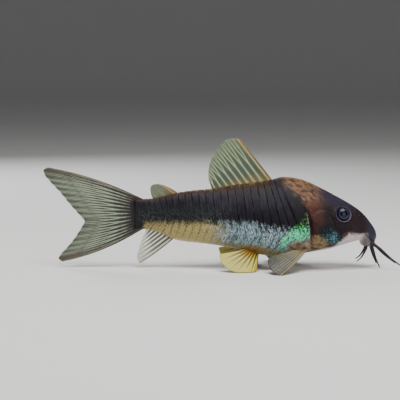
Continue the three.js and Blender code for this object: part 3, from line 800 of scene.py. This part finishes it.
eye_paint = Paint("eye_paint")
from_pupil = eye_paint.attribute("from_pupil")
iris_grain = eye_paint.noise(5, 2)
eye_colour = eye_paint.layers(
    "020204",
    ("151329", from_pupil.step(PUPIL - 0.06, PUPIL + 0.06)),
    ("474678", from_pupil.near(INNER_RING, 0.1) * (0.1 + iris_grain * 0.7)),
    ("08070f", from_pupil.step(1.06, 1.14)),
    ("3a3650", from_pupil.near(IRIS, 0.09) * 0.6),
)
eye_material = eye_paint.finish(eye_colour, Roughness=0.22, Specular_IOR_Level=0.25)
for letter, side in (("right", -1), ("left", 1)):
    eye = eye_mesh(f"eyeball_{letter}", side)
    eye.data.materials.append(eye_material)
    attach(eye, "root")
    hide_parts(f"eye_{letter}")

# Unpaired fins: dorsal, adipose, tail and anal
# A thin clear membrane over jointed bony rays. The soft rays split into finer ones towards the edge.
# Each fin is a fan between a root curve and an edge curve, with its rays swept by geometry nodes.
WEB = 0.1  # thickness of a membrane, mm
THINNER, SHORTER = 0.4, 0.013  # what it loses between the rays, as shares
ROOT_REACH = 0.16  # how far out along a ray the thick root goes
FIN_FLOOR = 0.17  # no fin's middle comes nearer to the floor
RAY_STEPS, ROWS_BY_RAY = 28, 8  # how finely a ray and the membrane across it are divided
RAY_TAPER, SPLIT_TAPER = 0.5, 0.85  # what a ray loses out to its tip, and what a split leaves of it


def spline(points):
    """A smooth curve through points, as a function of 0 to 1 that runs along it at an even speed."""
    p = np.array(points, float)
    p = np.vstack([2 * p[0] - p[1], p, 2 * p[-1] - p[-2]])
    spans = len(points) - 1

    def uneven(t):
        t = np.clip(np.asarray(t, float), 0, 1) * spans
        i = np.minimum(t.astype(int), spans - 1)
        k = (t - i)[..., None]
        a, b, c, d = p[i], p[i + 1], p[i + 2], p[i + 3]
        square = (2 * a - 5 * b + 4 * c - d) * k ** 2
        cube = (3 * b - a - 3 * c + d) * k ** 3
        return 0.5 * (2 * b + (c - a) * k + square + cube)

    share = np.linspace(0, 1, 401)
    travelled = np.concatenate([[0], np.cumsum(np.linalg.norm(np.diff(uneven(share), axis=0), axis=1))])
    return lambda t: uneven(np.interp(np.asarray(t, float), travelled / travelled[-1], share))


def fan(root, tip, bow):
    """The fin's middle surface at t across its rays and k along them, kept just above the floor."""
    root_at, tip_at = spline(root), spline(tip)

    def at(t, k):
        t, k = np.broadcast_arrays(np.asarray(t, float), np.asarray(k, float))
        bend = (4 * k * (1 - k))[..., None] * bow(t)
        point = root_at(t) * (1 - k[..., None]) + tip_at(t) * k[..., None] + bend
        point[..., 2] = np.maximum(point[..., 2], FIN_FLOOR)
        return point

    return at


def ray_lines(surface, rays, splits, thickness, spine):
    """Points, edges, thickness, place along and place across of all the rays of a fin."""
    points, edges, thick, along, across = [], [], [], [], []
    spread = 0.5 / rays

    def line(t0, t1, k0, k1, girth):
        ks = np.linspace(k0, k1, max(4, int(RAY_STEPS * (k1 - k0))))
        ts = t0 + (t1 - t0) * ((ks - k0) / (k1 - k0)) ** 0.7
        start = len(points)
        points.extend(surface(ts, ks))
        edges.extend((start + i, start + i + 1) for i in range(len(ks) - 1))
        thick.extend(girth * (1 - RAY_TAPER * ks))
        along.extend(ks)
        across.extend(ts)

    for r in range(rays):
        hard = r == 0 and spine > 0
        stops = [0.0] + ([] if hard else list(splits)) + [1.0]
        branches = [spread + (1 - 2 * spread) * r / (rays - 1)]
        for level in range(len(stops) - 1):
            girth = spine if hard else thickness * SPLIT_TAPER ** level
            gap = 0 if level == 0 else spread * 0.5 / 2 ** (level - 1)
            ends = [b + side * gap for b in branches for side in ((-1, 1) if gap else (0,))]
            starts = [b for b in branches for side in ((-1, 1) if gap else (0,))]
            for start, end in zip(starts, ends):
                line(start, end, stops[level], stops[level + 1], girth)
            branches = ends
    return points, edges, thick, along, across


rays_tree, given = group_with(
    "sweep_rays", Thickness="NodeSocketFloat", Joint_length="NodeSocketFloat", Joint_depth="NodeSocketFloat",
    Sides="NodeSocketInt", Material="NodeSocketMaterial",
)
line = rays_tree.node("GeometryNodeMeshToCurve", None, {0: given["Geometry"]})
resampled = rays_tree.node(
    "GeometryNodeResampleCurve", {"mode": "LENGTH"}, {"Curve": line, "Length": given["Joint length"] * 0.5}
)
spline_length = rays_tree.node("GeometryNodeSplineParameter", output="Length")
joint = (spline_length / given["Joint length"] * (2 * math.pi)).sine()
girth = named(rays_tree, "thick") * given["Thickness"] * (1 + joint * given["Joint depth"])
hoop = rays_tree.node("GeometryNodeCurvePrimitiveCircle", None, {"Resolution": given["Sides"], "Radius": 1.0})
swept_inputs = {"Curve": resampled, "Profile Curve": hoop, "Scale": girth, "Fill Caps": True}
swept = rays_tree.node("GeometryNodeCurveToMesh", None, swept_inputs)
rounded = rays_tree.node("GeometryNodeSetShadeSmooth", None, {"Geometry": swept})
end_group(rays_tree, rounded, given["Material"])


def swept_rays(name, lines, material, joint_length=0.36, joint_depth=0.1, sides=6):
    points, edges, thick, along, across = lines
    mesh = bpy.data.meshes.new(f"{name}_lines")
    mesh.from_pydata((np.array(points) * MM).tolist(), edges, [])
    made = bpy.data.objects.new(f"{name}_lines", mesh)
    bpy.context.scene.collection.objects.link(made)
    store(made, "thick", np.array(thick) / 2)
    store(made, "along", along)
    store(made, "across", across)
    return grow(
        made, rays_tree.tree, name, Thickness=MM, Joint_length=joint_length * MM, Joint_depth=joint_depth,
        Sides=sides, Material=material,
    )


def membrane(name, surface, rays, material, root_thickness, steps=40):
    """A thin closed sheet over the fin, thinner and a little shorter between the rays, thick at its root."""
    t = np.linspace(0, 1, rays * ROWS_BY_RAY + 1)[:, None]
    between = 0.5 + 0.5 * np.cos(2 * np.pi * t * rays)
    k = np.linspace(0, 1, steps + 1)[None, :] * (1 - SHORTER * between)
    t, between = np.broadcast_to(t, k.shape), np.broadcast_to(between, k.shape)
    grid = surface(t, k)
    u, v = np.gradient(grid, axis=0), np.gradient(grid, axis=1)
    normal = np.cross(u, v)
    normal /= np.maximum(np.linalg.norm(normal, axis=-1, keepdims=True), 1e-9)
    half_thickness = WEB / 2 * (1 - THINNER * between)
    half_thickness = half_thickness + root_thickness / 2 * np.clip(1 - k / ROOT_REACH, 0, 1) ** 2
    top, bottom = grid + normal * half_thickness[..., None], grid - normal * half_thickness[..., None]
    n, m = k.shape
    points = np.concatenate([top.reshape(-1, 3), bottom.reshape(-1, 3)])
    index = np.arange(n * m).reshape(n, m)
    faces = []
    for i in range(n - 1):
        for j in range(m - 1):
            quad = (index[i, j], index[i + 1, j], index[i + 1, j + 1], index[i, j + 1])
            faces.append(tuple(int(q) for q in quad))
            faces.append(tuple(int(q) + n * m for q in reversed(quad)))
    rim = list(index[:, 0]) + list(index[-1, 1:]) + list(index[-2::-1, -1]) + list(index[0, -2:0:-1])
    for a, b in zip(rim, rim[1:] + rim[:1]):
        faces.append((int(b), int(a), int(a) + n * m, int(b) + n * m))
    made = mesh_object(name, points, faces)
    for label, values in (("along", k), ("across", t), ("between", between)):
        store(made, label, np.tile(values.reshape(-1), 2))
    made.data.materials.append(material)
    return made


def joined(name, pieces):
    """One object of several, with each face keeping its material."""
    for piece in bpy.context.selected_objects:
        piece.select_set(False)
    for piece in pieces:
        piece.select_set(True)
    bpy.context.view_layer.objects.active = pieces[0]
    bpy.ops.object.join()
    pieces[0].name = name
    pieces[0].data.name = name
    return pieces[0]


def fin_piece(name, node, surface, paints, rays, splits, thickness, root_thickness, spine=0.0):
    """A fin of membrane and rays. splits says how far out its rays split."""
    web = membrane(f"{name}_web", surface, rays, paints[0], root_thickness)
    ribs = swept_rays(f"{name}_rays", ray_lines(surface, rays, splits, thickness, spine), paints[1])
    made = joined(name, [web, ribs])
    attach(made, "root")
    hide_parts(node)


OPAQUE = 0.97  # how nearly opaque a membrane is at its root and in its dark gaps


def fin_paints(
    name, web, ray, web_base, ray_base, gap, edge, base_reach, gap_reach, gap_share, edges, clear=0.82,
    lobe_stripes=0.0,
):
    """Two finishes for a fin, its clear membrane and its rays.

    The base colours reach out to base_reach. Dark gaps show between the rays out to gap_reach. The
    two numbers of edges say how much of the fin's width its first and last edge colour.
    """
    made = []
    for part, tip, base in (("web", web, web_base), ("ray", ray, ray_base)):
        paint = Paint(f"{name}_{part}_paint")
        along, across = paint.attribute("along"), paint.attribute("across")
        cloud, specks = paint.noise(1.1, 3), paint.noise(6, 2)
        uneven = along + (cloud - 0.5) * 0.25 + (specks - 0.5) * 0.08
        colour = paint.mix(tip, base, uneven.step(base_reach, base_reach * 0.25))
        first, last = edges
        ragged = across + (cloud - 0.5) * 0.06
        rim = ragged.step(first, first * 0.3)
        if last:
            rim = rim.most(ragged.step(1 - last, 1 - last * 0.4))
        colour = paint.mix(colour, edge, rim * ((0.7 if part == "web" else 0.25) + specks * 0.6))
        if part == "web":
            trough = paint.attribute("between").step(0.3, 0.75)
            dark = trough * uneven.step(gap_reach, gap_reach * 0.4) * gap_share
            if lobe_stripes:
                dark = dark.most(trough * across.step(0.5, 0.72) * along.step(0.98, 0.7) * lobe_stripes)
            colour = paint.mix(colour, gap, dark)
            opacity = clear + (cloud - 0.5) * 0.12
            opacity = opacity + dark * (OPAQUE - clear) + along.step(0.3, 0.05) * (OPAQUE - clear)
            normal = paint.bump(specks, 0.02)
            made.append(paint.finish(colour, Roughness=0.42, Alpha=opacity.least(1), Normal=normal))
        else:
            colour = paint.mix(colour, base, specks.step(0.56, 0.7) * 0.3)
            made.append(paint.finish(colour, Roughness=0.42, Normal=paint.bump(specks, 0.02)))
    return made


def at_mid(*pairs):
    return [place(s, h) for s, h in pairs]


def raised_bow(start, end):
    """A bow of the rays, from the first ray's to the last one's, in percent of the length."""
    return lambda t: np.stack([0 * t, 0 * t, (start + (end - start) * t) * PC], -1)


dorsal = fan(
    at_mid((42.2, 35.4), (47.4, 34), (54, 33), (60, 32.2), (67.6, 31)),
    at_mid(
        (56.2, 53.1), (59.8, 53.4), (62.5, 52.6), (64.6, 50.2), (66.5, 47.2), (68.4, 44.2), (69.3, 40.4),
        (69.2, 35.8),
    ),
    raised_bow(0, 0.8),
)
dorsal_paints = fin_paints(
    "dorsal", web="5b6b50", ray="a4b28c", web_base="96844c", ray_base="b39c5e", gap="232d23",
    edge="86682f", base_reach=0.32, gap_reach=0.95, gap_share=0.7, edges=(0.12, 0),
)
fin_piece(
    "dorsal_fin_piece", "dorsal_fin", dorsal, dorsal_paints, rays=9, splits=(0.45, 0.75),
    thickness=0.3, root_thickness=1.0, spine=0.55,
)

adipose = fan(
    at_mid((80.6, 30), (86, 28.4), (91.6, 27)),
    at_mid((88.8, 34.5), (91.6, 34.6), (93.2, 33.4), (93, 30.4)),
    raised_bow(0.6, 0),
)
adipose_paints = fin_paints(
    "adipose", web="626b4f", ray="857f5a", web_base="6b532c", ray_base="7d6136", gap="3a3a2a",
    edge="8f6c33", base_reach=0.4, gap_reach=0.6, gap_share=0.4, edges=(0.34, 0),
)
fin_piece(
    "adipose_fin_piece", "adipose_fin", adipose, adipose_paints, rays=3, splits=(),
    thickness=0.2, root_thickness=0.6, spine=0.5,
)

caudal = fan(
    at_mid((94.6, 27.6), (98, 25.4), (98.6, 22), (98, 18.8), (95.2, 16.8)),
    at_mid(
        (135.6, 41.6), (137.4, 40.2), (136.8, 38.4), (134.4, 35.4), (130.6, 31.4), (126.4, 26.2),
        (122.3, 21.6), (120.6, 19.4), (122.3, 15.8), (125.5, 11.1), (128, 8.2), (131.2, 4.4), (130.2, 2.4),
    ),
    raised_bow(1.8, -2),
)
caudal_paints = fin_paints(
    "caudal", web="37422f", ray="939d86", web_base="140e11", ray_base="33221a", gap="131116",
    edge="40301f", base_reach=0.36, gap_reach=0.5, gap_share=0.92, edges=(0.12, 0.09), lobe_stripes=0.85,
)
fin_piece(
    "tail_fin_piece", "caudal_fin", caudal, caudal_paints, rays=15, splits=(0.3, 0.52, 0.74),
    thickness=0.31, root_thickness=1.3,
)

anal = fan(
    at_mid((82.6, 13), (88, 15.4), (93.6, 17.4)),
    at_mid((97.6, 1.7), (98.6, 3), (98.8, 5), (98.2, 7.4), (97.2, 10.6), (96, 13.8)),
    raised_bow(-0.5, 0.2),
)
anal_paints = fin_paints(
    "anal", web="a6ab95", ray="eeeadb", web_base="7a6632", ray_base="a88b45", gap="1c1a20",
    edge="7a6335", base_reach=0.16, gap_reach=0.95, gap_share=0.85, edges=(0.1, 0), clear=0.62,
)
fin_piece(
    "anal_fin_piece", "anal_fin", anal, anal_paints, rays=7, splits=(0.5,),
    thickness=0.34, root_thickness=0.8,
)

# Paired fins: pectoral and pelvic
# The fish props itself on these four fins, splayed out and down with their edges on the floor. Each
# grows from a fleshy root in the lower corner of the body.


def paired(root, tip, bow, side):
    """The fan of a fin given for the left side."""
    flip = np.array([1, side, 1])
    on_side = [[place(*p) * flip for p in line_of] for line_of in (root, tip)]
    return fan(*on_side, lambda t: bow * flip + 0 * t[..., None])


PECTORAL_ROOT = ((28.4, 10, 4.4), (29.6, 10.2, 4.7), (31, 10, 4.8), (32.6, 9.4, 4.8))
PECTORAL_TIP = (
    (40.2, 0.1, 12.6), (42, 0.1, 12.3), (43.6, 0.9, 11.8), (45, 2.9, 10.6), (45.6, 4.8, 9.2), (44.6, 6.8, 7.6)
)
PELVIC_ROOT = ((48.6, 7.8, 2.4), (49.8, 8.2, 2.8), (51.4, 8.6, 3.1), (53, 9, 3.2))
PELVIC_TIP = (
    (49.8, 0.4, 7.4), (53, 0.1, 8.4), (57.2, 0.1, 8.8), (61.2, 1.4, 8.2), (64.2, 4, 7), (65, 7, 5.8)
)
pectoral_paints = fin_paints(
    "pectoral", web="2c2d25", ray="9d9370", web_base="4a3018", ray_base="76522b", gap="1e1b18",
    edge="5c4122", base_reach=0.3, gap_reach=0.95, gap_share=0.85, edges=(0.12, 0), clear=0.8,
)
pelvic_paints = fin_paints(
    "pelvic", web="b0a833", ray="d0c254", web_base="8a6214", ray_base="a8781a", gap="3f2d0c",
    edge="a07f2a", base_reach=0.5, gap_reach=1.1, gap_share=0.85, edges=(0.1, 0),
)
for letter, side in (("right", -1), ("left", 1)):
    pectoral = paired(PECTORAL_ROOT, PECTORAL_TIP, np.array([0.3, 0.5, -0.1]), side)
    fin_piece(
        f"pectoral_fin_piece_{letter}", f"pectoral_fin_{letter}", pectoral, pectoral_paints,
        rays=9, splits=(0.5,), thickness=0.2, root_thickness=1.4, spine=0.6,
    )
    pelvic = paired(PELVIC_ROOT, PELVIC_TIP, np.array([0, 0.5, 0]), side)
    fin_piece(
        f"pelvic_fin_piece_{letter}", f"pelvic_fin_{letter}", pelvic, pelvic_paints,
        rays=7, splits=(0.4, 0.7), thickness=0.32, root_thickness=1.4,
    )

# Barbels
# Six soft tapering feelers: two at each corner of the mouth and one each side under the chin. The
# front pair reaches forward, almost to the floor. The same nodes sweep them as the fin rays.
BARBELS = {  # "back" says how much further back the left one's tip lies
    "upper": dict(
        thick=0.8, thin=0.2, back=1.8,
        path=((2.4, 11.6, 1.3), (1.2, 10, 1.7), (-1.6, 7.9, 2.3), (-5.6, 4.4, 3.4), (-10.83, 0.75, 4.2)),
    ),
    "lower": dict(
        thick=0.75, thin=0.2, back=-0.1,
        path=((3, 11.4, 1.5), (2.2, 9.8, 1.9), (1.6, 7.4, 2.4), (0.6, 4.2, 3), (-0.9, 0.8, 3.4)),
    ),
    "chin": dict(
        thick=0.6, thin=0.2, back=-0.4,
        path=((4, 9.8, 0.9), (4.4, 8.2, 1.2), (5.2, 6.6, 1.5), (6.6, 4.6, 1.9), (8.4, 3.2, 2.2)),
    ),
}
BARBEL_STEPS = 40
barbel_paint = Paint("barbel_paint")
down_barbel = barbel_paint.attribute("along") + barbel_paint.noise(2) * 0.3
barbel_colour = barbel_paint.mix("3a2d38", "14111c", down_barbel.step(0.1, 0.5))
barbel_bump = barbel_paint.bump(barbel_paint.noise(5, 2), 0.03)
barbel_material = barbel_paint.finish(
    barbel_colour, Roughness=0.45, Normal=barbel_bump, Specular_IOR_Level=0.3
)
for letter, side in (("right", -1), ("left", 1)):
    for name, barbel in BARBELS.items():
        path = barbel["path"]
        back_by = barbel["back"] / (len(path) - 2) if side > 0 else 0
        knots = [place(s + back_by * max(i - 1, 0), h, side * y) for i, (s, h, y) in enumerate(path)]
        k = np.linspace(0, 1, BARBEL_STEPS)
        thick = barbel["thick"] + (barbel["thin"] - barbel["thick"]) * k ** 0.8
        steps = [(i, i + 1) for i in range(BARBEL_STEPS - 1)]
        lines = (list(spline(knots)(k)), steps, list(thick), list(k), list(0 * k))
        feeler = swept_rays(
            f"barbel_{name}_piece_{letter}", lines, barbel_material, joint_length=0.3, joint_depth=0.03,
            sides=14,
        )
        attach(feeler, "root")
        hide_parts(f"barbel_{name}_{letter}")
